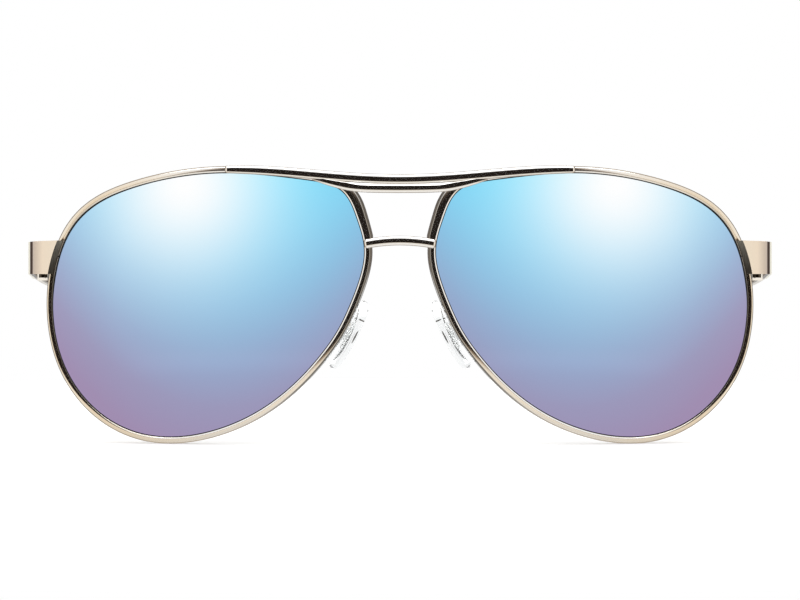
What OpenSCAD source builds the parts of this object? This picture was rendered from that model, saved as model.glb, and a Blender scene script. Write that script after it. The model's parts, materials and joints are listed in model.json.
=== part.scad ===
// Aviator sunglasses: two wire rims under a brow bar, a double bridge, mirrored lenses,
// screwed nose pads and temples that fold on barrel hinges.
// Millimetres. +X is the wearer's left, +Y runs back along the open temples, +Z is up.
// The glasses stand on both rims and both temple tips at Z = 0, centred on the origin.
// Every module draws the wearer's left piece; the right one is its mirror image.

/* [Lenses] */
// Width of the lens opening
lens_w = 62.3; // [61.5:0.1:63]
// Radius of the base curve that lenses and rims follow
base_r = 88; // [84:1:96]
// Axial thickness of a lens
lens_t = 1.1; // [1:0.05:1.15]
// Angle that each lens is turned back from the bridge
wrap = 8; // [7:0.5:9]

/* [Rims and bridges] */
// Smallest distance between the two lens openings
bridge_gap = 13.6; // [13:0.1:14.5]
// Radial thickness of the rim wire
rim_t = 1.2; // [1.1:0.05:1.3]
// Front-to-back depth of the rim wire
rim_d = 2.4; // [2.2:0.1:2.6]
// Length of the brow bar
brow_len = 67.8; // [60:0.2:70]
// Length of the upper bridge
upper_bridge_len = 34; // [33:0.2:35]
// Height of the brow bar and of both bridges
bar_h = 1.8; // [1.5:0.1:2]
// Front-to-back depth of the brow bar and of both bridges
bar_d = 1.5; // [1.3:0.1:1.7]

/* [Temples] */
// Width of the frame over the two endpieces
frame_w = 146.6; // [145.8:0.2:147]
// Height of an endpiece and of the temple where it starts
temple_h = 6.6; // [6:0.1:7]
// Thickness of the metal temple
temple_t = 1.2; // [1:0.1:1.4]
// Length of a temple along its middle line
temple_len = 140; // [135:1:145]
// Angle that the temples fall below level
temple_drop = 6.5; // [6:0.1:7]
// Angle of the bend behind the ear
ear_bend = 32.7; // [30:0.1:33]
// How far the temple tips curve in towards the head
tip_inset = 6; // [4:0.5:8]

/* [Nose pads] */
// Length of a nose pad
pad_len = 14.8; // [13:0.2:15]
// Width of a nose pad
pad_w = 7.6; // [7:0.2:8]
// Angle of a pad's long side from vertical, seen from the front
pad_cant = 27; // [24:1:30]
// Angle that the pads open towards the face
pad_splay = 8; // [4:1:14]

/* [Hidden] */
$fn = 48;

steel = "silver";
satin = "tan";
front_y = -73.35; // plane of the lens vertices, which centres the depth on the origin

// Lens outline: control points of a closed cubic curve, [towards the temple, up],
// from the lower temple side round over the top to the nose and the bottom.
outline_w = 62.3; // width of the curve that these points give
corners = [for (p = [
  [33, -12.5], [31, 16.5], [15.5, 23.5], [-2.5, 26.5], [-18, 24.5], [-27, 23.5],
  [-29.5, 16.5], [-32, 9.5], [-28, -1.5], [-24.5, -8.5], [-11, -23], [14.5, -29]
]) p * lens_w / outline_w];
spans = len(corners);
steps = 8; // stations in each span of the curve
nose_reach = 30.96 * lens_w / outline_w; // from the lens middle to the nose side
foot_reach = 25.9 * lens_w / outline_w; // from the lens middle to the bottom

// Stations along the outline, counted in control points
t_end_foot = 0.64; // below the endpiece
t_split = 0.83; // where the rim opens
t_end_top = 1.04; // above the endpiece
t_pad_arm = 8.3; // where the pad arm meets the rim

groove_d = 0.5; // depth of the lens groove
groove_w = 1.2; // width of the lens groove
lens_bite = 0.42; // how far the lens reaches into the groove
solder = 0.06; // bite of one soldered piece into another
play = 0.05; // radial clearance of a screw in its hole

lens_c = [
  bridge_gap / 2 + nose_reach * cos(wrap) + sag([nose_reach, 0]) * sin(wrap),
  front_y,
  rim_t + foot_reach
];

// Endpiece and hinge
end_t = 1.1; // thickness of the endpiece sheet
end_r = 1.6; // outer radius of its bend
end_front = front_y + 8.2; // its front face
end_foot = 33.1; // its lower edge
hinge_z = end_foot + temple_h / 2 + 0.1;
heel = 0.85; // extra depth of endpiece and temple at the hinge, under their middle line
heel_len = 45; // length of temple over which it tapers out
hinge_r = 1.2; // radius of a hinge barrel
hinge_x = frame_w / 2 - temple_t - hinge_r - 0.1;
hinge_y = front_y + 15.9;
barrel_h = [2.2, 2, 2]; // heights of the three barrels, from the bottom
barrel_gap = 0.05; // gap between two barrels
leaf_t = 1; // thickness of a hinge leaf
screw_r = 0.6; // hinge screw
barrel_foot = end_foot - 1.2;
barrel_z = [
  barrel_foot,
  barrel_foot + barrel_h[0] + barrel_gap,
  barrel_foot + barrel_h[0] + barrel_h[1] + 2 * barrel_gap
];

// Closing blocks
block_screw = [frame_w / 2 - 2.8, front_y + 10.7]; // axis of the closing screw
block_side = frame_w / 2 - end_t - 0.45; // their outer side
block_back = front_y + 12;
block_foot = end_foot + 0.12; // only the screw's head shows under the endpiece
closing_r = 0.5; // closing screw
split_gap = 0.2; // gap between the two blocks, and between the ends of the rim

// Temple
straight_len = 94; // from the hinge to the ear bend
ear_r = 32; // radius of the ear bend
bend_len = ear_r * ear_bend * PI / 180;
inset_from = 60; // where the temple starts to curve in
tip_from = 78; // where the plastic tip starts
core_from = 81; // where the metal becomes a core wire
core_to = temple_len - 9; // end of the core wire
core_size = [1.1, 1.7];
core_play = 0.08; // clearance round the core wire

// Nose pad, with z pointing away from the nose
pad_c = [9.9, front_y + 8, 20.9];
pad_t = 2.1;
pad_axis_z = 2.5; // height of the pad screw over the pad's middle
pad_screw_r = 0.45;
box_size = [4.9, 2.8]; // outside of the pad box
box_z = [1.8, 4.1];
box_wall = 0.5;
post_size = [2.6, 1.5]; // the insert's post, which the screw crosses
post_top = 3.2;
plate_size = [5.6, 3.4]; // the insert's plate, moulded into the pad
plate_z = [0.1, 0.7];
arm_r = 0.55; // pad arm wire

// ---------------------------------------------------------------- curves

function unit(v) = v / norm(v);
function blend(a, b, f) = a + (b - a) * min(max(f, 0), 1);
function smooth(f) = let (g = min(max(f, 0), 1)) g * g * (3 - 2 * g);

// Depth of the base curve behind the lens vertex
function sag(p) = base_r - sqrt(base_r * base_r - p * p);

// A closed cubic curve: weights of four neighbouring points, and their slopes
function weights(f) = [
  (1 - f) ^ 3, 3 * f ^ 3 - 6 * f ^ 2 + 4, -3 * f ^ 3 + 3 * f ^ 2 + 3 * f + 1, f ^ 3
] / 6;
function slopes(f) = [
  -(1 - f) ^ 2, 3 * f ^ 2 - 4 * f, -3 * f ^ 2 + 2 * f + 1, f ^ 2
] / 2;
function around(t) = [for (i = [-1:2]) corners[(floor(t) + i + spans) % spans]];
function outline(t) = weights(t - floor(t)) * around(t);
function outward(t) = let (d = slopes(t - floor(t)) * around(t)) unit([d.y, -d.x]);

// A point n outside the opening and a behind the middle of the lens, in lens space
function rim_point(t, n, a) =
  let (p = outline(t), q = outward(t), rise = (p * q) / (base_r - sag(p)))
    [p.x + n * q.x, sag(p) + n * rise + a, p.y + n * q.y];

function in_row(p) = lens_c + [
  p.x * cos(wrap) - p.y * sin(wrap), p.x * sin(wrap) + p.y * cos(wrap), p.z
];
module lens_space() translate(lens_c) rotate([0, 0, wrap]) children();

// A cross-section with cut corners
function bevelled(w, h, c) = [
  [w / 2 - c, h / 2], [c - w / 2, h / 2], [-w / 2, h / 2 - c], [-w / 2, c - h / 2],
  [c - w / 2, -h / 2], [w / 2 - c, -h / 2], [w / 2, c - h / 2], [w / 2, h / 2 - c]
];
function oval(w, h, count = 12) =
  [for (i = [0:count - 1]) [w / 2 * cos(360 * i / count), h / 2 * sin(360 * i / count)]];

// A section set square across a path at p that runs along dir, with its y upwards
function across(p, dir, section) =
  let (side = unit(cross(dir, [0, 0, 1])), up = cross(side, dir))
    [for (q = section) p + q.x * side + q.y * up];

// The solid through a list of rings with equal counts, capped at both ends
module skin(rings) {
  m = len(rings[0]);
  sides = [for (i = [0:len(rings) - 2]) for (j = [0:m - 1])
    let (a = i * m + j, b = a + m, c = i * m + (j + 1) % m, d = c + m)
      each [[a, d, b], [a, c, d]]];
  first = [for (j = [m - 1:-1:0]) j];
  last = [for (j = [0:m - 1]) (len(rings) - 1) * m + j];
  polyhedron([for (r = rings) for (p = r) p], concat(sides, [first, last]), convexity = 6);
}

// ---------------------------------------------------------------- front

// Half the wire's section outside the groove, [away from the lens, back]
rim_section = [
  [groove_d, -groove_w / 2], [groove_d, groove_w / 2], [0, groove_w / 2],
  [0.05, rim_d / 2 - 0.2], [0.2, rim_d / 2], [rim_t - 0.45, rim_d / 2],
  [rim_t - 0.12, rim_d / 2 - 0.35], [rim_t, 0.3], [rim_t, -0.3],
  [rim_t - 0.12, 0.35 - rim_d / 2], [rim_t - 0.45, -rim_d / 2], [0.2, -rim_d / 2],
  [0.05, 0.2 - rim_d / 2], [0, -groove_w / 2]
];
// The wire is broader between the two bridges
function flare(t) = (1 - 0.35 * smooth(t - 5.5))
  * smooth((t - 4.9) / 0.5) * smooth((6.68 - t) / 0.2);

module rim_run(section, from, to, count) lens_space() skin([
  for (i = [0:count]) let (t = from + (to - from) * i / count)
    [for (q = section) rim_point(t, q.x, q.y)]
]);

// One length of wire, open at the closing blocks
module rim() color(steel) lens_space() skin([
  for (i = [0:spans * steps])
    let (t = t_split + 0.006 + (spans - 0.012) * i / (spans * steps))
      [for (q = rim_section) rim_point(t, q.x + flare(t) * max(q.x - groove_d, 0), q.y)]
]);

module lens() color("skyblue") lens_space() difference() {
  intersection() {
    translate([0, base_r - lens_t / 2, 0]) sphere(base_r, $fn = 200);
    rotate([90, 0, 0]) linear_extrude(40, center = true) polygon([
      for (i = [0:spans * steps - 1]) let (t = i / steps) outline(t) + lens_bite * outward(t)
    ]);
  }
  translate([0, base_r + lens_t / 2, 0]) sphere(base_r, $fn = 200);
}

bar_steps = 40;

// Bar through points at(s) as s runs from -1 to 1, with its height tapered to end_h
module bar(at, end_h) skin([
  for (i = [0:bar_steps]) let (s = 2 * i / bar_steps - 1)
    across(at(s), unit(at(s + 0.01) - at(s - 0.01)),
      bevelled(bar_d, blend(bar_h, end_h, s ^ 6), 0.42))
]);

// Lies on the front of both rims and dips between them
module brow_bar() color(steel) bar(function(s) [
  s * brow_len / 2, front_y + 1.15 + 0.5 * s ^ 4, 51.4 + 1.9 * sin(90 * s) ^ 2
], 1.4);

// Joins the rims under the brow bar, with its ends along the top of their wires
module upper_bridge() color(steel) bar(function(s)
  let (x = s * upper_bridge_len / 2, past = abs(x) - 9.3)
    [x, front_y + 0.9 + 0.7 * s ^ 4, 49.57 + 0.125 * (past + sqrt(past * past + 6.8))], 1.2);

// Lies over the front of both rims at the nose
module lower_bridge() color(steel) bar(function(s) [
  s * (bridge_gap / 2 + 0.1), front_y + 0.35 - 0.6 * (1 - s * s), 38.75 + 0.7 * (1 - s * s)
], 1.8);

// ---------------------------------------------------------------- closing blocks and endpiece

// How far the outside of the rim's wire lies from the middle, with n mm more
function rim_side(t, n) = in_row(rim_point(t, rim_t + n, 0)).x;
function rim_height(t) = in_row(rim_point(t, rim_t, 0)).z;

// Extrudes a front view, [x, z] points, from one y to another
module front_view(from, to) translate([0, to, 0]) rotate([90, 0, 0])
  linear_extrude(to - from) children();

// The block from z = foot to z = top, soldered to the rim's side
module closing_block(foot, top, front) color(steel) difference() {
  front_view(front, block_back) intersection() {
    polygon(concat(
      [for (i = [0:6]) let (t = t_end_foot - 0.04 + (t_end_top - t_end_foot + 0.04) * i / 6)
        [rim_side(t, -0.3), rim_height(t)]],
      [[block_side, end_foot + 2 * temple_h], [block_side, 0]]
    ));
    translate([0, foot]) square([frame_w, top - foot]);
  }
  translate([block_screw.x, block_screw.y, foot - 1])
    cylinder(h = top - foot + 2, r = closing_r + play);
}

split_z = rim_height(t_split);

module upper_closing_block()
  closing_block(split_z + split_gap / 2, end_foot + temple_h - 0.3, end_front + end_t - solder);
module lower_closing_block()
  closing_block(block_foot, split_z - split_gap / 2, end_front + end_t + 0.4);

// Slotted screw with its head down at the origin and its shank upwards
module screw(r, head_r, head_h, len) difference() {
  union() {
    translate([0, 0, -head_h]) cylinder(h = head_h, r = head_r);
    cylinder(h = len, r = r);
  }
  translate([-head_r - 1, -0.13, -head_h - 1]) cube([2 * head_r + 2, 0.26, 1.25]);
}

module closing_screw() color(steel)
  translate([block_screw.x, block_screw.y, block_foot])
    screw(closing_r, 0.85, 0.8, temple_h - 0.5);

// The bent sheet seen from above
module endpiece_plan() {
  outer = frame_w / 2;
  translate([60, end_front]) square([outer - end_r - 60, end_t]);
  translate([outer - end_r, end_front + end_r]) intersection() {
    difference() {
      circle(end_r);
      circle(end_r - end_t);
    }
    translate([0, -end_r]) square(end_r);
  }
  translate([outer - end_t, end_front + end_r])
    square([end_t, hinge_y - 0.05 - end_front - end_r]);
}

// The front view of the endpiece, from n mm outside the rim to the outer corner
module endpiece_front(n) polygon(concat(
  [for (i = [0:4]) let (t = t_end_foot + (t_end_top - t_end_foot) * i / 4)
    [rim_side(t, n), rim_height(t)]],
  [
    [rim_side(t_end_top, n) + 2, rim_height(t_end_top)],
    [frame_w / 2 - 3, end_foot + temple_h], [frame_w / 2 + 1, end_foot + temple_h - 0.4],
    [frame_w / 2 + 1, end_foot - 2]
  ]
));

// The side view of the endpiece, whose foot slopes down into the temple's
module endpiece_side() rotate([90, 0, 90]) linear_extrude(frame_w)
  polygon([
    [end_front - 1, end_foot], [end_front + 2.6, end_foot], [hinge_y, end_foot - heel],
    [hinge_y, end_foot + temple_h], [end_front - 1, end_foot + temple_h]
  ]);

// A sheet that bends back to the hinge, with a lip that slopes over the front of the rim
lip_section = [[0.1, -rim_d / 2 - 0.03], [rim_t + 0.2, -rim_d / 2 - 0.03], [rim_t + 0.2, -rim_d / 2 - 1.7]];
module endpiece() color(satin) {
  intersection() {
    translate([0, 0, end_foot - heel]) linear_extrude(temple_h + heel) endpiece_plan();
    endpiece_side();
    front_view(front_y, 0) endpiece_front(0.1);
  }
  intersection() {
    rim_run(lip_section, t_end_foot - 0.02, t_end_top + 0.02, 6);
    translate([60, end_front, end_foot]) cube([20, 20, temple_h]);
  }
}

// ---------------------------------------------------------------- hinge

// One barrel with the web that ties it to its leaf
module barrel(i, back) {
  translate([hinge_x, hinge_y, barrel_z[i]]) cylinder(h = barrel_h[i], r = hinge_r);
  translate([hinge_x, back ? hinge_y : hinge_y - 1.6, barrel_z[i]])
    cube([hinge_r + (back ? 0.1 : 0.2), 1.6, barrel_h[i]]);
}

module hinge_bore()
  translate([hinge_x, hinge_y, barrel_foot - 1]) cylinder(h = 9, r = screw_r + play);

module front_hinge() color(steel) difference() {
  union() {
    barrel(0, false);
    barrel(2, false);
    translate([frame_w / 2 - end_t - leaf_t, block_back + 0.2, end_foot + 0.1])
      cube([leaf_t, hinge_y - 1.4 - block_back - 0.2, barrel_z[2] + barrel_h[2] - end_foot - 0.1]);
  }
  hinge_bore();
}

module temple_hinge() color(steel) difference() {
  union() {
    barrel(1, true);
    translate([frame_w / 2 - temple_t - leaf_t, hinge_y + 1.5, hinge_z - 2.1])
      cube([leaf_t, 6, 3.8]);
  }
  hinge_bore();
}

module hinge_screw() color(steel)
  translate([hinge_x, hinge_y, barrel_z[2] + barrel_h[2]]) mirror([0, 0, 1])
    screw(screw_r, 1.05, 0.5, barrel_z[2] + barrel_h[2] - barrel_foot - 0.1);

// ---------------------------------------------------------------- temple

// Slope of the temple's middle line at a length s from the hinge
function fall(s) = temple_drop + ear_bend * min(max((s - straight_len) / bend_len, 0), 1);

// Its middle line: straight, round the ear, and straight again
function temple_point(s) =
  let (a = min(s, straight_len), f = fall(s), c = max(s - straight_len - bend_len, 0))
    [
      frame_w / 2 - temple_t / 2
        - tip_inset * (max(s - inset_from, 0) / (temple_len - inset_from)) ^ 2,
      hinge_y + 0.1 + a * cos(temple_drop) + ear_r * (sin(f) - sin(temple_drop)) + c * cos(f),
      hinge_z - a * sin(temple_drop) - ear_r * (cos(temple_drop) - cos(f)) - c * sin(f)
    ];

// A section of the temple at s, which leans only as far as the ear bend turns it
function temple_ring(s, section) =
  let (lean = fall(s) - temple_drop, up = [0, sin(lean), cos(lean)])
    [for (q = section) temple_point(s) + [q.x, 0, 0] + q.y * up];

// Height of the metal bar, which tapers to the tip, and its section with the heel under it
function bar_height(s) = blend(temple_h, 3.6, smooth(s / 60));
function bar_section(s) = let (h = heel * (1 - smooth(s / heel_len)))
  [for (q = bevelled(temple_t, bar_height(s) + h, 0.25)) q - [0, h / 2]];

module temple() color(steel) {
  bar_at = [for (s = [0:3:tip_from + 1.5]) s];
  core_at = [for (i = [0:16]) core_from + (core_to - core_from) * i / 16];
  skin(concat(
    [for (s = bar_at) temple_ring(s, bar_section(s))],
    [for (s = core_at) temple_ring(s, bevelled(core_size.x, core_size.y, 0.25))]
  ));
}

// Width and height of the plastic tip, which swells into a paddle and rounds off
tip_steps = 30;
function tip_round(f) = sqrt(max(1 - (max(f - 0.95, 0) / 0.05) ^ 2, 0.02));
function tip_size(f) = tip_round(f) * [blend(2.6, 3, f), blend(4.6, 6.2, smooth(f))];

module temple_tip() color("dimgray") {
  mouth = [temple_t + 2 * core_play, bar_height(tip_from) + 2 * core_play];
  pocket = concat(
    [for (i = [16:-1:0]) temple_ring(core_from - 1 + (core_to + 1.5 - core_from) * i / 16,
      oval(core_size.x + 0.7, core_size.y + 0.9))],
    [for (s = [core_from - 1.2, tip_from]) temple_ring(s, oval(mouth.x + 0.7, mouth.y + 0.9))]
  );
  shell = [for (i = [0:tip_steps]) let (f = 1 - (1 - i / tip_steps) ^ 1.5)
    temple_ring(tip_from + (temple_len - tip_from) * f, oval(tip_size(f).x, tip_size(f).y))];
  skin(concat(pocket, shell));
}

// ---------------------------------------------------------------- nose pads

// Pad space: x down the pad, y back along its width, z away from the nose
pad_x = [sin(pad_cant), 0, -cos(pad_cant)];
pad_out = [cos(pad_cant), 0, sin(pad_cant)];
pad_y = [0, cos(pad_splay), 0] + sin(pad_splay) * pad_out;
pad_z = cos(pad_splay) * pad_out - [0, sin(pad_splay), 0];
function in_pad(p) = pad_c + p.x * pad_x + p.y * pad_y + p.z * pad_z;
module pad_space() multmatrix([
  for (i = [0:2]) [pad_x[i], pad_y[i], pad_z[i], pad_c[i]]
]) children();

module slab(size, z) translate([-size.x / 2, -size.y / 2, z[0]])
  cube([size.x, size.y, z[1] - z[0]]);

module pad_bore(r) translate([0, 0, pad_axis_z]) rotate([90, 0, 0])
  cylinder(h = 12, r = r, center = true);

module pad_insert() color(steel) pad_space() difference() {
  union() {
    slab(plate_size, plate_z);
    slab(post_size, [plate_z[1], post_top]);
  }
  pad_bore(pad_screw_r + play);
}

module nose_pad() color([0.9, 0.93, 0.93, 0.6]) pad_space() difference() {
  hull() for (end = [-1, 1]) for (side = [-1, 1])
    translate([end * (pad_len / 2 - 2.6) - 0.2, side * (pad_w / 2 - (end < 0 ? 2.3 : 1.9)), 0])
      rotate_extrude($fn = 32) union() {
        translate([0, -pad_t / 4]) square([1.4, pad_t / 2]);
        translate([1.4 - 0.2, 0]) circle(pad_t / 2 - 0.1, $fn = 16);
      }
  slab(plate_size + [0.04, 0.04], plate_z + [-0.02, 0.02]);
  slab(post_size + [0.04, 0.04], [plate_z[1], post_top]);
}

module pad_box() color(steel) pad_space() difference() {
  slab(box_size, box_z);
  slab(box_size - 2 * [box_wall, box_wall], [box_z[0] - 1, box_z[1] - box_wall]);
  pad_bore(pad_screw_r + play);
}

module pad_screw() color(steel) pad_space()
  translate([0, -box_size.y / 2, pad_axis_z]) rotate([-90, 0, 0])
    screw(pad_screw_r, 0.75, 0.4, box_size.y - 0.1);

// Bent wire from the back of the rim to the outside of the pad box
function bezier(p, f) = (1 - f) ^ 3 * p[0] + 3 * f * (1 - f) ^ 2 * p[1]
  + 3 * f ^ 2 * (1 - f) * p[2] + f ^ 3 * p[3];

module pad_arm() color(steel) {
  root = in_row(rim_point(t_pad_arm, rim_t / 2, rim_d / 2 - solder));
  seat = in_pad([0, 0, box_z[1] - solder]);
  path = [root, root + [-0.4, 5.2, 1.6], seat + 3.4 * pad_z, seat];
  skin([for (i = [0:24]) across(
    bezier(path, i / 24), unit(bezier(path, i / 24 + 0.01) - bezier(path, i / 24 - 0.01)),
    oval(2 * arm_r, 2 * arm_r, 10)
  )]);
}

// ---------------------------------------------------------------- assembly

module other_side() mirror([1, 0, 0]) children();

brow_bar();
upper_bridge();
lower_bridge();
rim();  // rim_left
other_side() rim();  // rim_right
lens();  // lens_left
other_side() lens();  // lens_right
upper_closing_block();  // upper_closing_block_left
other_side() upper_closing_block();  // upper_closing_block_right
lower_closing_block();  // lower_closing_block_left
other_side() lower_closing_block();  // lower_closing_block_right
closing_screw();  // closing_screw_left
other_side() closing_screw();  // closing_screw_right
endpiece();  // endpiece_left
other_side() endpiece();  // endpiece_right
front_hinge();  // front_hinge_left
other_side() front_hinge();  // front_hinge_right
hinge_screw();  // hinge_screw_left
other_side() hinge_screw();  // hinge_screw_right
temple_hinge();  // temple_hinge_left
other_side() temple_hinge();  // temple_hinge_right
temple();  // temple_left
other_side() temple();  // temple_right
temple_tip();  // temple_tip_left
other_side() temple_tip();  // temple_tip_right
pad_arm();  // pad_arm_left
other_side() pad_arm();  // pad_arm_right
pad_box();  // pad_box_left
other_side() pad_box();  // pad_box_right
pad_screw();  // pad_screw_left
other_side() pad_screw();  // pad_screw_right
pad_insert();  // pad_insert_left
other_side() pad_insert();  // pad_insert_right
nose_pad();  // nose_pad_left
other_side() nose_pad();  // nose_pad_right
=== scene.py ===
"""Aviator sunglasses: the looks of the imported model, seen square-on from the front.

Lengths are millimetres until a mesh is made, and places are worked out from the CAD nodes' boxes. Each
piece is drawn as the wearer's left one, at +X, and mirrored for the right.
"""
import json
import math

import bmesh
import bpy
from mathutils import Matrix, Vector


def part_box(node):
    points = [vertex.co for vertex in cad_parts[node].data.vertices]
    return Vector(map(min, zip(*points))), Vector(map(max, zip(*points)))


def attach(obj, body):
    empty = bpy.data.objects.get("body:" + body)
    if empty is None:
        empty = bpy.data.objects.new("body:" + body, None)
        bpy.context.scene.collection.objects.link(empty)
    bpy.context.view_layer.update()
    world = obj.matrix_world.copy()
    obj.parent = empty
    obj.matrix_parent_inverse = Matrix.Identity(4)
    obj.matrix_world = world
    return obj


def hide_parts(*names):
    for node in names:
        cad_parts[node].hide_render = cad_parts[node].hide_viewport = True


MM = 0.001
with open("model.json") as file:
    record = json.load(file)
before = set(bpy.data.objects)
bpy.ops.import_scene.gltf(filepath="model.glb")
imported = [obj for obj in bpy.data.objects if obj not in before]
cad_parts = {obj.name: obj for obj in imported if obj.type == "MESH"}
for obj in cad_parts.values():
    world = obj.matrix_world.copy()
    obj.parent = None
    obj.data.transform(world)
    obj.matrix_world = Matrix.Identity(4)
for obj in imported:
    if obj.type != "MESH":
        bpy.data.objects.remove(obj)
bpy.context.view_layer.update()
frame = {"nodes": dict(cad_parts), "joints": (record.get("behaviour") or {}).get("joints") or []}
scene = bpy.context.scene


def box(node):
    """Lowest and highest corner of a CAD node, in millimetres."""
    low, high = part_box(node)
    return low / MM, high / MM


# ---------------------------------------------------------------- the shapes that everything follows

BASE_R = 88  # base curve of lenses and rims
WRAP = math.radians(8)  # how far each lens turns back
RIM_T, RIM_D = 1.2, 2.4  # rim wire, radially and front to back
LENS_T = 1.1
LENS_BITE = 0.42  # how far the lens reaches into the groove
CORNERS = [  # control points of the lens opening, [towards the temple, up]
    (33, -12.5), (31, 16.5), (15.5, 23.5), (-2.5, 26.5), (-18, 24.5), (-27, 23.5),
    (-29.5, 16.5), (-32, 9.5), (-28, -1.5), (-24.5, -8.5), (-11, -23), (14.5, -29),
]
SPANS = len(CORNERS)


def blend(a, b, f):
    return a + (b - a) * min(max(f, 0), 1)


def smooth(f):
    f = min(max(f, 0), 1)
    return f * f * (3 - 2 * f)


def outline(t):
    """Point of the lens opening at station t, and its outward direction."""
    i, f = math.floor(t), t - math.floor(t)
    near = [CORNERS[(i + k) % SPANS] for k in (-1, 0, 1, 2)]
    w = [(1 - f) ** 3, 3 * f**3 - 6 * f**2 + 4, -3 * f**3 + 3 * f**2 + 3 * f + 1, f**3]
    d = [-((1 - f) ** 2), 3 * f**2 - 4 * f, -3 * f**2 + 2 * f + 1, f**2]
    p = sum((Vector(c) * k / 6 for c, k in zip(near, w)), Vector((0, 0)))
    q = sum((Vector(c) * k for c, k in zip(near, d)), Vector((0, 0)))
    return p, Vector((q.y, -q.x)).normalized()


def sag(p):
    """Depth of the base curve behind the lens vertex."""
    return BASE_R - math.sqrt(BASE_R**2 - p.length_squared)


def turned(p):
    """From lens space to the row's directions."""
    c, s = math.cos(WRAP), math.sin(WRAP)
    return Vector((p.x * c - p.y * s, p.x * s + p.y * c, p.z))


def rim_local(t, n, a):
    """A point of the rim from the lens vertex: n outside the lens opening, a behind the lens's middle."""
    p, q = outline(t)
    rise = p.dot(q) / (BASE_R - sag(p))
    return turned(Vector((p.x + n * q.x, sag(p) + n * rise + a, p.y + n * q.y)))


def lens_centre():
    """Where the lens vertex is, from the boxes of the CAD lens and rim."""
    ring = [rim_local(i / 40, LENS_BITE, a) for i in range(SPANS * 40) for a in (-LENS_T / 2, LENS_T / 2)]
    low, high = box("lens_left")
    x = (low.x + high.x) / 2 - (min(p.x for p in ring) + max(p.x for p in ring)) / 2
    z = (low.z + high.z) / 2 - (min(p.z for p in ring) + max(p.z for p in ring)) / 2
    front = min(rim_local(i / 40, 0.5, -RIM_D / 2).y for i in range(SPANS * 40))
    return Vector((x, box("rim_left")[0].y - front, z))


LENS_C = lens_centre()


def rim_point(t, n, a):
    return LENS_C + rim_local(t, n, a)


# ---------------------------------------------------------------- mesh building

def bezier(p, f):
    """The point at fraction f of the curve with four control points p."""
    g = 1 - f
    return p[0] * g**3 + p[1] * 3 * f * g**2 + p[2] * 3 * f**2 * g + p[3] * f**3


def rounded(corners, steps=5):
    """A closed section whose corners, (x, y, radius), are rounded off."""
    out = []
    for i, (x, y, r) in enumerate(corners):
        here = Vector((x, y))
        if not r:
            out.append(here)
            continue
        to_last = (Vector(corners[i - 1][:2]) - here).normalized()
        to_next = (Vector(corners[(i + 1) % len(corners)][:2]) - here).normalized()
        half = to_last.angle(to_next) / 2
        cut = r / math.tan(half)
        centre = here + (to_last + to_next).normalized() * r / math.sin(half)
        a = here + to_last * cut - centre
        turn = a.angle_signed(here + to_next * cut - centre)
        for k in range(steps + 1):
            angle = math.atan2(a.y, a.x) - turn * k / steps
            out.append(centre + Vector((r * math.cos(angle), r * math.sin(angle))))
    return out


def circle(r, count=20):
    """A round section of radius r."""
    angles = [2 * math.pi * i / count for i in range(count)]
    return [Vector((r * math.cos(a), r * math.sin(a))) for a in angles]


def across(p, direction, section):
    """A section set square across a path at p that runs along direction, with its y upwards."""
    direction = direction.normalized()
    side = direction.cross(Vector((0, 0, 1))).normalized()
    up = side.cross(direction)
    return [p + side * q.x + up * q.y for q in section]


def skin(rings):
    """Vertices and faces of the solid through rings of equal counts: its sides, and last its two ends."""
    m, last = len(rings[0]), (len(rings) - 1) * len(rings[0])
    faces = []
    for a in range(0, last, m):
        b = a + m
        faces += [(a + j, a + (j + 1) % m, b + (j + 1) % m, b + j) for j in range(m)]
    faces += [tuple(reversed(range(m))), tuple(range(last, last + m))]
    return [p for ring in rings for p in ring], faces


def piece(name, parts, material, body, replaces=(), sharp=35):
    """Makes an object of (vertices, faces) parts and rides it on its body, on both sides if name has {}."""
    made = []
    for side in ("left", "right") if "{}" in name else ("",):
        flip = -1 if side == "right" else 1
        verts, faces = [], []
        for v, f in parts:
            base = len(verts)
            verts += [(p.x * flip * MM, p.y * MM, p.z * MM) for p in v]
            faces += [tuple(base + i for i in (face if flip > 0 else reversed(face))) for face in f]
        mesh = bpy.data.meshes.new(name.format(side))
        mesh.from_pydata(verts, [], faces)
        mesh.validate()
        obj = bpy.data.objects.new(name.format(side), mesh)
        scene.collection.objects.link(obj)
        face_outwards(mesh)
        for p in mesh.polygons:
            p.use_smooth = True
        mesh.set_sharp_from_angle(angle=math.radians(sharp))
        mesh.materials.append(material)
        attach(obj, body.format(side))
        if replaces:
            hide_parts(*[node.format(side) for node in replaces])
        made.append(obj)
    return made


def face_outwards(mesh):
    bm = bmesh.new()
    bm.from_mesh(mesh)
    bmesh.ops.recalc_face_normals(bm, faces=bm.faces)
    bm.to_mesh(mesh)
    bm.free()


def soften(obj, radius, angle):
    """Rounds off the edges that are sharper than angle, in degrees."""
    bevel = obj.modifiers.new("soft_edges", "BEVEL")
    bevel.width, bevel.segments, bevel.limit_method = radius * MM, 3, "ANGLE"
    bevel.angle_limit = math.radians(angle)
    return bevel


# ---------------------------------------------------------------- materials

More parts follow.
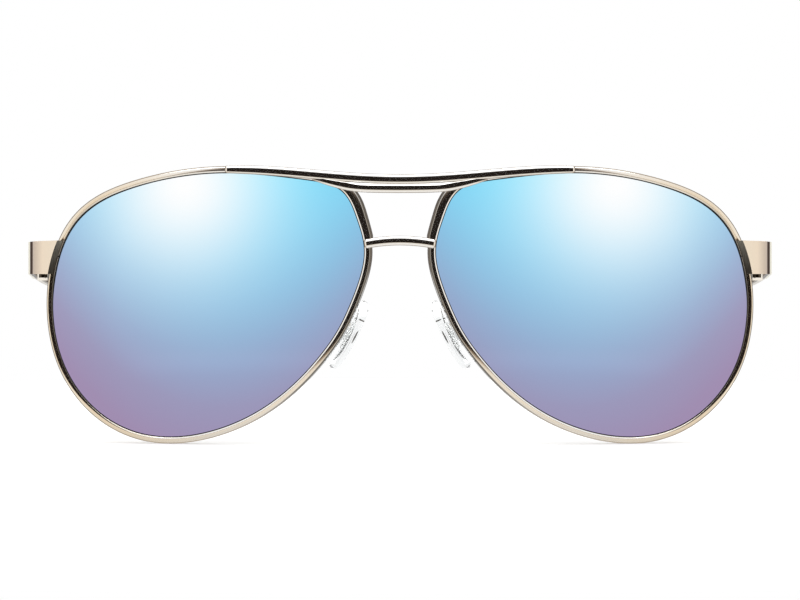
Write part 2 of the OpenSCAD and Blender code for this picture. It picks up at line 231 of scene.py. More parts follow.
class Nodes:
    """A short way to wire up a procedural material, or a world."""

    def __init__(self, name, kinds=bpy.data.materials, output="ShaderNodeOutputMaterial"):
        self.owner = kinds.new(name)
        self.owner.use_nodes = True
        self.tree = self.owner.node_tree
        self.tree.nodes.clear()
        self.out = self.tree.nodes.new(output)

    def add(self, kind, settings=None, **inputs):
        node = self.tree.nodes.new("ShaderNode" + kind)
        for key, value in (settings or {}).items():
            setattr(node, key, value)
        for key, value in inputs.items():
            key = key.replace("_", " ")
            socket = node.inputs[int(key[1:])] if key[0] == "i" and key[1:].isdigit() else node.inputs[key]
            if isinstance(value, bpy.types.NodeSocket):
                self.tree.links.new(value, socket)
            else:
                socket.default_value = value
        return node

    def math(self, op, a, b=0.0):
        return self.add("Math", {"operation": op}, i0=a, i1=b).outputs[0]

    def finish(self, shader):
        self.tree.links.new(shader, self.out.inputs["Surface"])
        return self.owner

    def principled(self, **inputs):
        return self.finish(self.add("BsdfPrincipled", None, **inputs).outputs[0])

    def place(self):
        """Object-space position in millimetres."""
        at = self.add("TexCoord").outputs["Object"]
        return self.add("VectorMath", {"operation": "SCALE"}, i0=at, Scale=1 / MM).outputs[0]

    def split(self, vector):
        return self.add("SeparateXYZ", None, Vector=vector).outputs

    def stretched(self, at, scale):
        return self.add("Mapping", None, Vector=at, Scale=scale).outputs[0]

    def noise(self, at, scale, detail=3.0, roughness=0.5):
        node = self.add("TexNoise", None, Vector=at, Scale=scale, Detail=detail, Roughness=roughness)
        return node.outputs["Fac"]

    def step(self, value, low, high):
        """0 up to low, 1 from high on, and a smooth change between them."""
        settings = {"interpolation_type": "SMOOTHSTEP"}
        return self.add("MapRange", settings, Value=value, From_Min=low, From_Max=high).outputs[0]

    def mix(self, factor, a, b):
        return self.add("Mix", {"data_type": "RGBA"}, i0=factor, i6=a, i7=b).outputs[2]

    def tint(self, factor, a, b):
        """Colour a, multiplied by b as far as factor says."""
        settings = {"data_type": "RGBA", "blend_type": "MULTIPLY"}
        return self.add("Mix", settings, i0=factor, i6=a, i7=b).outputs[2]

    def ramp(self, fac, *stops):
        node = self.add("ValToRGB", None, Fac=fac)
        bar = node.color_ramp.elements
        while len(bar) < len(stops):
            bar.new(1)
        for e, (at, c) in zip(bar, stops):
            e.position, e.color = at, (*c, 1) if len(c) == 3 else c
        return node.outputs["Color"]


def grey(v):
    return (v, v, v)


def polished_metal(name, colour, rough=0.05, wear=0.05):
    """Plated metal: fine hairlines, a little dulling in patches, a painted dark reflection on the sides that
    face the nose, and more golden towards the temples."""
    n = Nodes(name)
    at = n.place()
    x = n.split(at)["X"]
    # painted dark reflection: the base colour is darkened on the sides that face the nose, but not on faces
    # that look straight at it
    facing = n.math("MULTIPLY", n.split(n.add("TexCoord").outputs["Normal"])["X"], n.math("SIGN", x))
    square_on = n.step(facing, -0.90, -0.97)
    painted_nose_reflection = n.math("MULTIPLY", n.step(facing, -0.25, -0.6), n.math("SUBTRACT", 1.0, square_on))
    patches = n.noise(at, 0.35, 4)
    hair = n.noise(n.stretched(at, (1.2, 1.2, 14)), 2.2, 4, 0.7)
    dull = n.math("ADD", n.math("MULTIPLY", patches, wear), n.math("MULTIPLY", hair, wear * 0.6))
    tone = n.ramp(patches, (0.35, tuple(c * 0.97 for c in colour)), (0.7, colour))
    tone = n.tint(painted_nose_reflection, tone, (0.27, 0.27, 0.27, 1))
    outward = n.math("DIVIDE", n.math("ABSOLUTE", x), 100.0)
    tone = n.tint(1.0, tone, n.ramp(outward, (0.36, grey(1)), (0.52, (0.98, 0.925, 0.84))))
    waves = n.math("MULTIPLY", n.noise(at, 0.9, 2), 0.8)
    height = n.math("ADD", waves, n.math("MULTIPLY", hair, 0.05))
    bump = n.add("Bump", None, Height=height, Strength=0.05, Distance=0.02 * MM)
    rough = n.math("ADD", rough, dull)
    return n.principled(Base_Color=tone, Metallic=0.985, Roughness=rough, Normal=bump.outputs[0])


def satin_metal():
    """Brushed plating on the endpieces, with a painted dark reflection where the sheet bends and a painted
    highlight along its outer side.
    """
    n = Nodes("satin_metal")
    at = n.place()
    bend = 6  # how far in from the endpiece's outer side the tones start to change
    x = n.math("ABSOLUTE", n.split(at)["X"])
    along = n.math("DIVIDE", n.math("SUBTRACT", x, box("endpiece_left")[1].x - bend), bend)
    # painted light and shade at the bend: a dark reflection from 0.83 to 0.90 and a highlight from 0.925 on
    tone = n.ramp(
        along, (0.1, (0.88, 0.76, 0.60)), (0.5, (0.88, 0.74, 0.58)), (0.74, (0.64, 0.53, 0.43)),
        (0.80, (0.60, 0.50, 0.42)), (0.83, (0.06, 0.04, 0.034)), (0.90, (0.09, 0.065, 0.055)),
        (0.925, (0.90, 0.86, 0.74)),
    )
    hair = n.noise(n.stretched(at, (14, 1.2, 1.2)), 1.6, 4, 0.7)
    tone = n.tint(0.5, tone, n.ramp(hair, (0.3, grey(0.8)), (0.7, grey(1))))
    rough = n.math("ADD", 0.24, n.math("MULTIPLY", hair, 0.12))
    bump = n.add("Bump", None, Height=hair, Strength=0.08, Distance=0.02 * MM)
    return n.principled(Base_Color=tone, Metallic=0.95, Roughness=rough, Normal=bump.outputs[0])


def streaked_lip():
    """The lip's polished slope, with a painted dark reflection of the lens's edge in streaks, painted
    darkest towards its foot.
    """
    n = Nodes("endpiece_lip")
    at = n.place()
    height = n.math("DIVIDE", n.math("SUBTRACT", n.split(at)["Z"], END_FOOT), TEMPLE_H)
    streaks = n.noise(n.stretched(at, (3.2, 3.2, 0.35)), 1.4, 3, 0.6)
    tone = n.ramp(
        n.math("ADD", n.math("MULTIPLY", height, 0.55), n.math("MULTIPLY", streaks, 0.6)),
        (0.28, (0.03, 0.025, 0.02)), (0.5, (0.05, 0.044, 0.036)), (0.66, (0.08, 0.074, 0.062)),
        (0.9, (0.16, 0.148, 0.122)),
    )
    return n.principled(Base_Color=tone, Metallic=0.985, Roughness=n.math("MULTIPLY", streaks, 0.25))


LENS_FADE = [  # down the lens, in even steps
    (0.11, 0.81, 1.0), (0.16, 0.72, 0.97), (0.205, 0.635, 0.88), (0.245, 0.52, 0.755),
    (0.29, 0.405, 0.615), (0.33, 0.315, 0.495), (0.355, 0.27, 0.44),
]
PAINTED_GLOW = (3.7, 23.4)  # middle of the painted highlight, a white glow where a softbox's reflection would be, from the lens vertex
PAINTED_GLOW_R = 12


def lens_mirror():
    """Front of the lens: a mirror coating from pale blue to violet, with a painted white highlight near the
    top.
    """
    n = Nodes("lens_mirror")
    at = n.split(n.place())
    x, z = n.math("ABSOLUTE", at["X"]), at["Z"]
    # how far down the lens, counted as further towards the temple and at both sides
    lean = n.math("MULTIPLY", n.math("SUBTRACT", x, 8.0), 0.13)
    side = n.math("DIVIDE", n.math("SUBTRACT", x, LENS_C.x), 30.0)
    side = n.math("MULTIPLY", n.math("MULTIPLY", side, side), 17.0)
    down = n.math("SUBTRACT", n.math("ADD", lean, side), z)
    down = n.math("DIVIDE", n.math("ADD", down, box("lens_left")[1].z + 0.3), 60.0)
    base = n.ramp(down, *[(i / (len(LENS_FADE) - 1), c) for i, c in enumerate(LENS_FADE)])
    # painted highlight: the coating's colour turns white round the glow's middle
    dx = n.math("DIVIDE", n.math("SUBTRACT", x, LENS_C.x + PAINTED_GLOW[0]), PAINTED_GLOW_R)
    dz = n.math("DIVIDE", n.math("SUBTRACT", z, LENS_C.z + PAINTED_GLOW[1]), PAINTED_GLOW_R)
    far = n.math("POWER", n.math("ADD", n.math("MULTIPLY", dx, dx), n.math("MULTIPLY", dz, dz)), 0.93)
    colour = n.mix(n.math("EXPONENT", n.math("MULTIPLY", far, -0.5)), base, (1, 1, 1, 1))
    haze = n.noise(n.place(), 0.22, 3)
    rough = n.math("ADD", 0.07, n.math("MULTIPLY", haze, 0.05))
    return n.principled(Base_Color=colour, Metallic=1.0, Roughness=rough)


def lens_inside():
    """Back of the lens: the grey-violet tint that the wearer looks through."""
    n = Nodes("lens_inside")
    tint = n.ramp(n.noise(n.place(), 0.3, 3), (0.3, (0.10, 0.095, 0.11)), (0.7, (0.125, 0.115, 0.13)))
    return n.principled(Base_Color=tint, Roughness=0.04, Coat_Weight=0.6, Coat_Roughness=0.03)


def shadow_seam():
    """The dark gap between lens and rim."""
    n = Nodes("shadow_seam")
    tone = n.ramp(n.noise(n.place(), 3.0, 2), (0.3, grey(0.006)), (0.7, grey(0.016)))
    return n.principled(Base_Color=tone, Roughness=0.5, Specular_IOR_Level=0.15)


def clear_silicone():
    n = Nodes("clear_silicone")
    tone = n.ramp(n.noise(n.place(), 0.8, 3), (0.3, (0.93, 0.95, 0.95)), (0.7, (0.985, 0.99, 0.99)))
    return n.principled(Base_Color=tone, Roughness=0.03, IOR=1.27, Transmission_Weight=0.97)


def clear_core():
    """The stiffer clear plastic inside each pad."""
    n = Nodes("clear_core")
    tone = n.ramp(n.noise(n.place(), 1.2, 3), (0.3, (0.86, 0.88, 0.88)), (0.7, (0.94, 0.95, 0.95)))
    return n.principled(Base_Color=tone, Roughness=0.1, IOR=1.3, Transmission_Weight=0.9)


def tip_plastic():
    n = Nodes("tip_plastic")
    at = n.place()
    swirl = n.noise(at, 0.12, 4, 0.6)
    colour = n.ramp(swirl, (0.3, (0.012, 0.012, 0.014)), (0.7, (0.028, 0.027, 0.03)))
    rough = n.math("ADD", 0.16, n.math("MULTIPLY", n.noise(at, 0.8, 3), 0.1))
    return n.principled(Base_Color=colour, Roughness=rough, Coat_Weight=0.5, Coat_Roughness=0.08)


TEMPLE_T, TEMPLE_H = 1.2, 6.6
HEEL, HEEL_LEN = 0.85, 45  # extra depth of endpiece and temple at the hinge
END_FOOT = box("endpiece_left")[0].z + HEEL
metal = polished_metal("polished_metal", (0.94, 0.925, 0.90))
satin = satin_metal()
steel = polished_metal("turned_steel", (0.62, 0.60, 0.57), rough=0.16, wear=0.1)
# painted light and shade for the endpieces' bevels: a highlight along the crest beside the dark lip, and
# shade lines along the sheet's edges
painted_edge_metal = polished_metal("gilt_edge", (0.62, 0.49, 0.34), rough=0.12)
# near-black steel for the closing screws and the pads' insert tabs, darker than the other steel
dark_steel = polished_metal("blackened_steel", (0.09, 0.08, 0.07), rough=0.18, wear=0.1)
lip_metal = streaked_lip()
mirror = lens_mirror()
inside = lens_inside()
seam = shadow_seam()
silicone = clear_silicone()
plastic = tip_plastic()
core = clear_core()

# ---------------------------------------------------------------- rims and lenses

RIM_SECTION = rounded([
    (0.5, -0.6, 0), (0.5, 0.6, 0), (0, 0.6, 0.06), (0, RIM_D / 2, 0.2), (RIM_T, RIM_D / 2, 0.4),
    (RIM_T, 0.3 - RIM_D / 2, 0.2), (RIM_T - 0.26, -RIM_D / 2, 0.16), (0.27, -RIM_D / 2, 0.1),
    (0, 0.25 - RIM_D / 2, 0.1), (0, -0.6, 0.06),
])
T_SPLIT = 0.83  # where the rim opens
STATIONS = SPANS * 20


def flare(t):
    """The wire is broader between the two bridges."""
    return (1 - 0.35 * smooth(t - 5.5)) * smooth((t - 4.9) / 0.5) * smooth((6.68 - t) / 0.2)


def rim_section(t):
    """The wire's section at station t: its inner chamfer is over twice as wide on the temple side."""
    u = t % SPANS
    wide = max(smooth((u - 11.4) / 0.6), 1 - smooth((u - 0.93) / 0.12))
    for q in RIM_SECTION:
        x = q.x + flare(t) * (RIM_T - 0.5) * smooth((q.x - 0.5) / 0.35)
        if q.x < 0.4 and q.y < -0.7:
            x *= 1 + 1.8 * wide
        yield x, q.y


def make_rim():
    """The grooved wire round the lens, cut open at T_SPLIT, where the closing blocks hold it."""
    gap = 0.006
    ts = [T_SPLIT + gap + (SPANS - 2 * gap) * i / STATIONS for i in range(STATIONS + 1)]
    return skin([[rim_point(t, x, y) for x, y in rim_section(t)] for t in ts])


piece("rim_wire_{}", [make_rim()], metal, "front", ["rim_{}"])


def seam_width(t):
    """Width of the shadow line that is left between lens and rim, which is broadest beside the endpiece."""
    return 0.2 + 0.16 * smooth((t - 0.4) / 0.3) * smooth((2.4 - t) / 1.2)


def lens_point(p, depth):
    """A point of the lens at p in its outline and depth behind its middle."""
    return LENS_C + turned(Vector((p.x, sag(p) + depth, p.y)))


def lens_surface(depth, rows=26):
    """One face of the lens as rings, from its edge in the groove to its middle."""
    rings = []
    for r in [rows + 2, rows + 1] + list(range(rows, 0, -1)):
        ring = []
        for i in range(STATIONS):
            t = SPANS * i / STATIONS
            p, q = outline(t)
            reach = {rows + 2: LENS_BITE - 0.1, rows + 1: 0.1}.get(r, -seam_width(t))
            ring.append(lens_point((p + q * reach) * min(r / rows, 1), depth))
        rings.append(ring)
    return rings


def make_lens():
    """The lens, and for each face which of its materials it has: mirror, inside or seam."""
    edge = []
    for a in (-LENS_T / 2 + 0.1, LENS_T / 2 - 0.1):
        ring = []
        for i in range(STATIONS):
            p, q = outline(SPANS * i / STATIONS)
            ring.append(lens_point(p + q * LENS_BITE, a))
        edge.append(ring)
    front, back = lens_surface(-LENS_T / 2), lens_surface(LENS_T / 2)
    front_faces = (len(front) - 3) * STATIONS  # those inside the seam
    seam_faces = 6 * STATIONS  # the front's border, the edge and the back's part in the groove
    verts, faces = skin(list(reversed(front)) + edge + back)
    looks = [0] * front_faces + [2] * seam_faces
    looks += [1] * (len(faces) - len(looks) - 2) + [0, 1]
    return (verts, faces), looks


lens_part, lens_looks = make_lens()
for lens in piece("mirror_lens_{}", [lens_part], mirror, "front", ["lens_{}"], 50):
    lens.data.materials.append(inside)
    lens.data.materials.append(seam)
    lens.data.polygons.foreach_set("material_index", lens_looks)

# ---------------------------------------------------------------- bars

BAR_H, BAR_D = 1.8, 1.5


def bar(at, end_h, over, under, cap, power=6, fade=0.0, steps=80):
    """A bar through points at(s) for s from -1 to 1, tapered to end_h and rounded off over cap at its ends.

    Its front has a chamfer of height over along the top, which shrinks by fade towards the ends, and one
    of height under along the bottom.
    """
    rings = []
    reach = (at(1) - at(0)).x
    ends = [-1 + cap / reach * (1 - math.cos(math.pi / 2 * k / 6)) for k in range(7)]
    stops = [-1 + 2 * i / steps for i in range(steps + 1)]
    middle = [s for s in stops if abs(s) < -ends[-1] - 0.01]
    stops = ends + middle + [-s for s in reversed(ends)]
    for s in stops:
        left = (1 - abs(s)) * reach / cap
        shrink = math.sqrt(max(1 - max(1 - left, 0) ** 2, 0)) * 0.55 + 0.45 if left < 1 else 1
        h = blend(BAR_H, end_h, s**power) * shrink
        d = BAR_D * (2 * shrink - 1)
        k = h / BAR_H
        top = over * (1 - fade * smooth((abs(s) - 0.4) / 0.25))
        section = rounded([
            (-d / 2, h / 2, 0.3 * k), (d * 0.3, h / 2, min(0.7, 1.1 * top) * k),
            (d / 2, h / 2 - top * k, 0.2 * k), (d / 2, under * k - h / 2, 0.25 * k),
            (d * 0.3, -h / 2, 0.4 * k), (-d / 2, -h / 2, 0.3 * k),
        ], 4)
        rings.append(across(at(s), at(s + 0.01) - at(s - 0.01), section))
    return skin(rings)


def brow_path():
    """Up in an arc from the middle to both ends, and swept back there."""
    low, high = box("brow_bar")
    mid_z, end_z = low.z + BAR_H / 2, high.z - 0.75
    y0, y1 = low.y + BAR_D / 2, high.y - BAR_D / 2

    def at(s):
        rise = math.sin(math.pi / 2 * s) ** 2
        return Vector((s * high.x, y0 + (y1 - y0) * s**4, mid_z + (end_z - mid_z) * rise))
    return at


def upper_bridge_path():
    """Level in the middle, and gently turned up to a slope of one in four."""
    low, high = box("upper_bridge")
    half = high.x - 0.2
    level_to, turn = 9.3, 6.8

    def at(s):
        past = abs(s) * half - level_to
        rise = (past + math.sqrt(past**2 + turn)) / 8
        return Vector((s * half, low.y + BAR_D / 2 + 0.7 * s**4, low.z + BAR_H / 2 - 0.045 + rise))
    return at


def lower_bridge_path():
    """An arch over the nose, which stands forward in its middle."""
    low, high = box("lower_bridge")
    y0, y1 = low.y + BAR_D / 2, high.y - BAR_D / 2
    top, foot = high.z - BAR_H / 2, low.z + BAR_H / 2

    def at(s):
        arch = 1 - s * s
        return Vector((s * (high.x - 0.2), y1 + (y0 - y1) * arch, foot + (top - foot) * arch))
    return at


brow_part = bar(brow_path(), end_h=1.4, over=0.58, under=0.27, cap=0.6)
upper_part = bar(upper_bridge_path(), end_h=0.55, over=0.5, under=0.5, cap=0.3, power=4, fade=0.6)
lower_part = bar(lower_bridge_path(), end_h=BAR_H, over=0.55, under=0.5, cap=0.6)
piece("brow_bar_rod", [brow_part], metal, "front", ["brow_bar"])
piece("upper_bridge_rod", [upper_part], metal, "front", ["upper_bridge"])
piece("lower_bridge_rod", [lower_part], metal, "front", ["lower_bridge"])

# ---------------------------------------------------------------- endpieces

END_LOW, END_HIGH = box("endpiece_left")
END_T, END_R = 1.1, 1.6


def rim_slice(n, a, z):
    """The point on the rim's temple side n outside the opening, a behind the lens and at height z."""
    low, high = 0.3, 1.3
    for _ in range(30):
        t = (low + high) / 2
        if rim_point(t, n, a).z < z:
            low = t
        else:
            high = t
    return rim_point(low, n, a)


def make_endpiece(levels=10):
    """A bent sheet with a lip that slopes down over the rim, as plan views stacked from foot to top."""
    outer, front, back = END_HIGH.x, END_LOW.y, END_HIGH.y
    heel_from = front + 2.6
    centre = Vector((outer - END_R, front + END_R))

    def arc(r, from_deg, to_deg, count):
        for i in range(count + 1):
            a = math.radians(from_deg + (to_deg - from_deg) * i / count)
            yield centre + Vector((r * math.cos(a), r * math.sin(a)))

    rings = []
    for i in range(levels + 1):
        def height(x, y):
            """Height of this level: the sheet's top falls off outwards, and its foot is deeper behind."""
            top = END_HIGH.z - 0.1 * max(x - outer + 3, 0)
            low = END_FOOT - HEEL * min(max((y - heel_from) / (back - heel_from), 0), 1)
            return low + (top - low) * i / levels
        z = height(0, front)
        lip, crest, heel = rim_slice(0.08, -1.24, z), rim_slice(1.0, -2.4, z), rim_slice(1.3, -1.24, z)
        plan = [Vector((lip.x, lip.y)), Vector((crest.x, front)), Vector((crest.x + 0.5, front))]
        plan += arc(END_R, -90, 0, 10)
        plan += [Vector((outer, back)), Vector((outer - END_T, back))]
        plan += arc(END_R - END_T, 0, -90, 5)
        plan += [Vector((heel.x, front + END_T)), Vector((heel.x, heel.y))]
        rings.append([Vector((p.x, p.y, height(p.x, p.y))) for p in plan])
    return skin(rings), len(plan)


end_part, end_count = make_endpiece()
for end in piece("endpiece_sheet_{}", [end_part], satin, "front", ["endpiece_{}"], 30):
    end.data.materials.append(lip_metal)
    end.data.materials.append(painted_edge_metal)
    walls = len(end.data.polygons) - 2  # all but the foot and the top
    for p in end.data.polygons:
        p.material_index = 1 if p.index % end_count == 0 and p.index < walls else 0
    # the bevels take the painted edge lines of light and shade
    soften(end, 0.13, 25).material = 2

# ---------------------------------------------------------------- temples

HINGE = next(Vector(j["pos_m"]) / MM for j in frame["joints"] if j["name"] == "temple_left_fold")
DROP = math.radians(6.5)
EAR_BEND = math.radians(32.7)
STRAIGHT, EAR_R, TEMPLE_LEN = 94, 32, 140
BEND_LEN = EAR_R * EAR_BEND
INSET, INSET_FROM, TIP_FROM = 6, 60, 78
FRAME_W = box("endpiece_left")[1].x * 2


def fall(s):
    """How steeply the temple runs down at s along it."""
    return DROP + EAR_BEND * min(max((s - STRAIGHT) / BEND_LEN, 0), 1)


def temple_point(s):
    """Middle of the temple at s: straight for a, bent down behind the ear to slope f, and straight for c."""
    a, f, c = min(s, STRAIGHT), fall(s), max(s - STRAIGHT - BEND_LEN, 0)
    return Vector((
        FRAME_W / 2 - TEMPLE_T / 2 - INSET * (max(s - INSET_FROM, 0) / (TEMPLE_LEN - INSET_FROM)) ** 2,
        HINGE.y + 0.1 + a * math.cos(DROP) + EAR_R * (math.sin(f) - math.sin(DROP)) + c * math.cos(f),
        HINGE.z - a * math.sin(DROP) - EAR_R * (math.cos(DROP) - math.cos(f)) - c * math.sin(f),
    ))


def temple_ring(s, section):
    """A section across the temple at s, upright before the bend and tilted with it after."""
    lean = fall(s) - DROP
    up = Vector((0, math.sin(lean), math.cos(lean)))
    return [temple_point(s) + Vector((q.x, 0, 0)) + up * q.y for q in section]


def bar_height(s):
    """Height of the temple's metal bar, tapered evenly and then level."""
    return blend(TEMPLE_H, 3.6, smooth(s / INSET_FROM))


def make_temple():
    """The metal bar, deeper at the hinge, with its last stretch inside the tip."""
    def section(s, shrink=0.0):
        w, h, r = TEMPLE_T - shrink, bar_height(s) - shrink, 0.28
        foot = -h / 2 - HEEL * (1 - smooth(s / HEEL_LEN))
        return rounded([(w / 2, h / 2, r), (-w / 2, h / 2, r), (-w / 2, foot, r), (w / 2, foot, r)], 4)
    stops = [0, 0.12] + [0.3 + (TIP_FROM + 1.2) * i / 90 for i in range(91)]
    rings = [temple_ring(s, section(s, 0.2 if s == 0 else 0)) for s in stops]
    return skin(rings)


def make_tip():
    """The plastic tip, whose rounded mouth closes on the metal bar and whose end is round."""
    def size(f):
        end = math.sqrt(max(1 - (max(f - 0.95, 0) / 0.05) ** 2, 0.004))
        return end * blend(2.6, 3, f), end * blend(4.6, 6.2, smooth(f))
    mouth = [(0, 1.35, 3.75), (0.02, 1.9, 4.1), (0.12, 2.35, 4.45), (0.35, 2.55, 4.57)]
    rings = [temple_ring(TIP_FROM + along, superoval(w, h)) for along, w, h in mouth]
    for i in range(1, 91):
        f = 1 - (1 - i / 90) ** 1.5
        s = blend(TIP_FROM + mouth[-1][0], TEMPLE_LEN, f)
        rings.append(temple_ring(s, superoval(*size(f))))
    return skin(rings)


def superoval(w, h, count=40, power=0.8):
    """An oval with fuller corners."""
    out = []
    for i in range(count):
        c, s = math.cos(2 * math.pi * i / count), math.sin(2 * math.pi * i / count)
        x, y = math.copysign(abs(c) ** power, c), math.copysign(abs(s) ** power, s)
        out.append(Vector((w / 2 * x, h / 2 * y)))
    return out


piece("temple_bar_{}", [make_temple()], metal, "temple_{}", ["temple_{}"])
piece("ear_tip_{}", [make_tip()], plastic, "temple_{}", ["temple_tip_{}"])

# ---------------------------------------------------------------- nose pads

CANT, SPLAY = math.radians(27), math.radians(8)
PAD_LEN, PAD_W, PAD_T = 14.8, 7.6, 2.1
PAD_OUT = Vector((math.cos(CANT), 0, math.sin(CANT)))
PAD_X = Vector((math.sin(CANT), 0, -math.cos(CANT)))
PAD_Y = Vector((0, math.cos(SPLAY), 0)) + PAD_OUT * math.sin(SPLAY)
PAD_Z = PAD_OUT * math.cos(SPLAY) - Vector((0, math.sin(SPLAY), 0))
PAD_AXIS = next(Vector(j["pos_m"]) / MM for j in frame["joints"] if j["name"] == "pad_left_rock")
PAD_AXIS_Z = 2.5  # height of the pad's screw over its middle
PAD_C = PAD_AXIS - PAD_Z * PAD_AXIS_Z
BOX_TOP = 4.1


def in_pad(x, y, z):
    """A point of the left pad: x down its length, y across it and z out from the nose."""
    return PAD_C + PAD_X * x + PAD_Y * y + PAD_Z * z


def make_pad(count=72):
    """A soft lozenge with full round edges, wider at its foot and bowed towards the nose."""
    edge_r = 0.95
    insets = [edge_r * (1 - math.cos(math.pi / 2 * k / 7)) for k in range(8)]
    steps = [(e, edge_r * math.sqrt(max(1 - (1 - e / edge_r) ** 2, 0))) for e in insets]
    steps += [(edge_r + (PAD_W / 2 - edge_r) * f, edge_r + (PAD_T / 2 - edge_r) * math.sin(math.pi / 2 * f))
              for f in (0.15, 0.35, 0.6, 0.8, 0.96)]
    rings = []
    for side in (-1, 1):
        for e, thick in (reversed(steps) if side < 0 else steps):
            ring = []
            for i in range(count):
                c, s = math.cos(2 * math.pi * i / count), math.sin(2 * math.pi * i / count)
                x = math.copysign(abs(c) ** 0.78, c) * (PAD_LEN / 2) * (1 - e / (PAD_W / 2))
                x += c * max(PAD_LEN - PAD_W, 0) / 2 * e / (PAD_W / 2) * 0.9
                half = (PAD_W / 2 - e) * blend(0.84, 1.0, (x + PAD_LEN / 2) / PAD_LEN)
                y = math.copysign(abs(s) ** 0.85, s) * half
                ring.append(in_pad(x - 0.2, y, side * thick - 0.18 + 0.45 * (x / (PAD_LEN / 2)) ** 2))
            rings.append(ring)
    return skin(rings)


piece("silicone_pad_{}", [make_pad()], silicone, "pad_{}", ["nose_pad_{}"])


def make_insert_tab():
    """A thin steel wire on the insert's nose side, and a small bar across the pad above its upper end."""
    wire = [(2.4, -0.612), (2.4, -0.588), (-2.9, -0.588), (-2.9, -0.612)]
    crossbar = [(-3.55, -0.3), (-3.8, -0.3), (-3.8, -0.85), (-3.55, -0.85)]
    return [skin([[in_pad(x, y, z) for x, z in side] for y in (-half, half)])
            for side, half in ((wire, 0.02), (crossbar, 0.2))]


piece("insert_tab_{}", make_insert_tab(), dark_steel, "pad_{}", sharp=20)

T_PAD_ARM, ARM_R = 8.3, 0.55


def make_pad_arm():
    """A wire that runs back from the rim and curls round to the pad's box, thicker where it is soldered."""
    root = rim_point(T_PAD_ARM, RIM_T / 2, RIM_D / 2 - 0.06)
    seat = in_pad(0, 0, BOX_TOP - 0.06)
    path = [root, root + Vector((-0.4, 5.2, 1.6)), seat + PAD_Z * 3.4, seat]
    rings = []
    for i in range(61):
        f = i / 60
        swell = 1 + 0.25 * (math.exp(-((f / 0.04) ** 2)) + math.exp(-(((1 - f) / 0.04) ** 2)))
        along = bezier(path, f + 0.01) - bezier(path, f - 0.01)
        rings.append(across(bezier(path, f), along, circle(ARM_R * swell)))
    return skin(rings)


piece("pad_arm_wire_{}", [make_pad_arm()], metal, "front", ["pad_arm_{}"])

# ---------------------------------------------------------------- CAD nodes that stay, softened

FINISH = {  # material and edge radius
    "upper_closing_block": (metal, 0.12), "lower_closing_block": (metal, 0.12),
    "front_hinge": (metal, 0.12), "temple_hinge": (metal, 0.12), "pad_box": (metal, 0.1),
    "closing_screw": (dark_steel, 0.06), "hinge_screw": (steel, 0.06), "pad_screw": (steel, 0.05),
    "pad_insert": (core, 0.06),
}
for kind, (material, radius) in FINISH.items():
    for side in ("left", "right"):
        obj = frame["nodes"][f"{kind}_{side}"]
        obj.data.materials.clear()
        obj.data.materials.append(material)
        soften(obj, radius, 30)

# ---------------------------------------------------------------- floor

def pale_floor():
    n = Nodes("pale_floor")
    colour = (0.93, 0.925, 0.915)
    shade = n.ramp(n.noise(n.place(), 0.01, 2), (0.3, tuple(c * 0.99 for c in colour)), (0.7, colour))
    glow = (*colour, 1)
    return n.principled(Base_Color=shade, Roughness=0.6, Emission_Color=glow, Emission_Strength=0.12)


FLOOR_R = 300
floor_mesh = bpy.data.meshes.new("floor")
floor_rim = [(p.x * MM, p.y * MM, 0) for p in circle(FLOOR_R, 96)]
floor_mesh.from_pydata(floor_rim, [], [tuple(range(len(floor_rim)))])
floor_mesh.materials.append(pale_floor())
floor = bpy.data.objects.new("floor", floor_mesh)
scene.collection.objects.link(floor)
floor.visible_glossy = False

# ---------------------------------------------------------------- light

def surround(n, direction):
    """Colour of the studio in a direction: white above, cream and tan at the sides, dark in front."""
    d = n.split(direction)
    degree = math.pi / 180
    azimuth = n.math("ARCTAN2", d["X"], n.math("MULTIPLY", d["Y"], -1.0))
    az = n.math("DIVIDE", n.math("ABSOLUTE", azimuth), degree)
    el = n.math("DIVIDE", n.math("ARCSINE", n.math("MULTIPLY", d["Z"], 0.9999)), degree)
    below = n.math("MULTIPLY", el, -1.0)

    level = n.ramp(
        n.math("DIVIDE", az, 180.0), (0.2, (0.90, 0.80, 0.66)), (0.32, (0.88, 0.77, 0.62)),
        (0.37, (0.98, 0.96, 0.92)), (0.47, (0.98, 0.96, 0.92)), (0.53, (0.80, 0.69, 0.55)),
        (0.62, (0.52, 0.44, 0.34)),
    )
    level = n.mix(n.step(below, 22, 45), level, (0.70, 0.655, 0.585, 1))
    level = n.mix(n.step(below, 50, 62), level, (0.93, 0.90, 0.86, 1))
    level = n.mix(n.step(el, 22, 40), level, (1, 1, 1, 1))
    level = n.mix(n.step(el, 74, 84), level, (0.68, 0.63, 0.56, 1))
    # behind the glasses
    level = n.mix(n.step(d["Y"], -0.1, 0.35), level, (0.50, 0.43, 0.35, 1))
    level = n.mix(n.step(d["Y"], 0.45, 0.8), level, (0.16, 0.14, 0.125, 1))
    horizon = n.math("MULTIPLY", n.step(d["Y"], 0.88, 0.96), n.step(below, 2, 6))
    level = n.mix(horizon, level, (0.74, 0.73, 0.71, 1))
    # the dark in front of the glasses, which narrows upwards
    narrowing = n.math("MULTIPLY", n.math("MAXIMUM", n.math("SUBTRACT", el, 20.0), 0.0), 1.3)
    spread = n.math("ADD", az, n.math("MINIMUM", narrowing, 24.0))
    dark = 1.0
    for value, low, high in ((spread, 34, 50), (el, 48, 53), (below, 9, 19)):
        dark = n.math("MULTIPLY", dark, n.math("SUBTRACT", 1.0, n.step(value, low, high)))
    shade = n.ramp(
        dark, (0.0, grey(1)), (0.4, (0.45, 0.37, 0.30)), (0.7, (0.09, 0.07, 0.055)),
        (1.0, (0.012, 0.009, 0.008)),
    )
    return n.tint(1.0, level, shade)


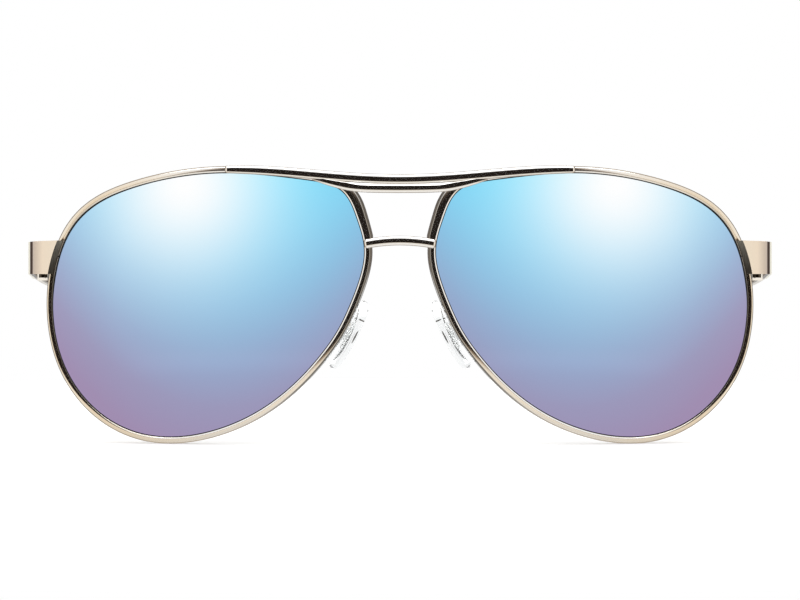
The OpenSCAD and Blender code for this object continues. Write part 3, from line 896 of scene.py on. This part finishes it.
def dome_light():
    """Adds what the studio lacks to an even white, and lets everything else through."""
    n = Nodes("dome_light")
    outwards = n.add("NewGeometry").outputs["Position"]
    toward = n.add("VectorMath", {"operation": "NORMALIZE"}, i0=outwards).outputs[0]
    lack = n.add("VectorMath", {"operation": "SUBTRACT"}, i0=(1, 1, 1), i1=surround(n, toward)).outputs[0]
    clear = n.add("BsdfTransparent").outputs[0]
    glow = n.add("Emission", None, Color=lack, Strength=1.0).outputs[0]
    return n.finish(n.add("AddShader", None, i0=clear, i1=glow).outputs[0])


# A dome for the pieces that are not polished metal, which see an even white studio
dome_mesh = bpy.data.meshes.new("soft_dome")
bm = bmesh.new()
bmesh.ops.create_icosphere(bm, subdivisions=4, radius=8.0)
bm.to_mesh(dome_mesh)
bm.free()
dome_mesh.materials.append(dome_light())
dome = bpy.data.objects.new("soft_dome", dome_mesh)
scene.collection.objects.link(dome)
dome.visible_camera = False
dome.visible_shadow = False
lit = bpy.data.collections.new("lit_by_dome")
lit.objects.link(floor)
for side in ("left", "right"):
    for name in ("mirror_lens", "silicone_pad", "ear_tip", "endpiece_sheet"):
        lit.objects.link(bpy.data.objects[f"{name}_{side}"])
    for name in ("pad_insert", "front_hinge"):
        lit.objects.link(frame["nodes"][f"{name}_{side}"])
dome.light_linking.receiver_collection = lit

# The front's parts mirror the studio and not each other, as in a shot lit from all round
for name in ("rim_wire_left", "rim_wire_right", "brow_bar_rod", "upper_bridge_rod", "lower_bridge_rod",
             "endpiece_sheet_left", "endpiece_sheet_right", "mirror_lens_left", "mirror_lens_right"):
    bpy.data.objects[name].visible_glossy = False


def studio_world():
    """The studio's colours round the object, on a plain white backdrop."""
    n = Nodes("studio", bpy.data.worlds, "ShaderNodeOutputWorld")
    colour = surround(n, n.add("TexCoord").outputs["Generated"])
    around = n.add("Background", None, Color=colour, Strength=1.0).outputs[0]
    plain = n.add("Background", None, Color=(1, 1, 1, 1), Strength=1.0).outputs[0]
    backdrop = n.add("LightPath").outputs["Is Camera Ray"]
    return n.finish(n.add("MixShader", None, i0=backdrop, i1=around, i2=plain).outputs[0])


scene.world = studio_world()

softbox = bpy.data.lights.new("overhead", "AREA")
softbox.shape, softbox.size, softbox.size_y, softbox.energy = "RECTANGLE", 0.9, 0.6, 5.0
lamp = bpy.data.objects.new("overhead", softbox)
lamp.location = (0.0, -0.15, 0.9)
scene.collection.objects.link(lamp)

scene.view_settings.view_transform = "Standard"

# ---------------------------------------------------------------- camera

DISTANCE = 450  # from the camera to the front of the lenses
VIEW_WIDTH = 154.4  # what the picture takes in there
SENSOR = 36
camera = bpy.data.cameras.new("camera")
camera.sensor_width, camera.sensor_fit = SENSOR, "HORIZONTAL"
camera.lens = SENSOR * DISTANCE / VIEW_WIDTH
camera.clip_start, camera.clip_end = 0.01, 20
view = bpy.data.objects.new("camera", camera)
view.location = Vector((0, LENS_C.y - DISTANCE, 28)) * MM
view.rotation_euler = (math.radians(90), 0, 0)
scene.collection.objects.link(view)
scene.camera = view
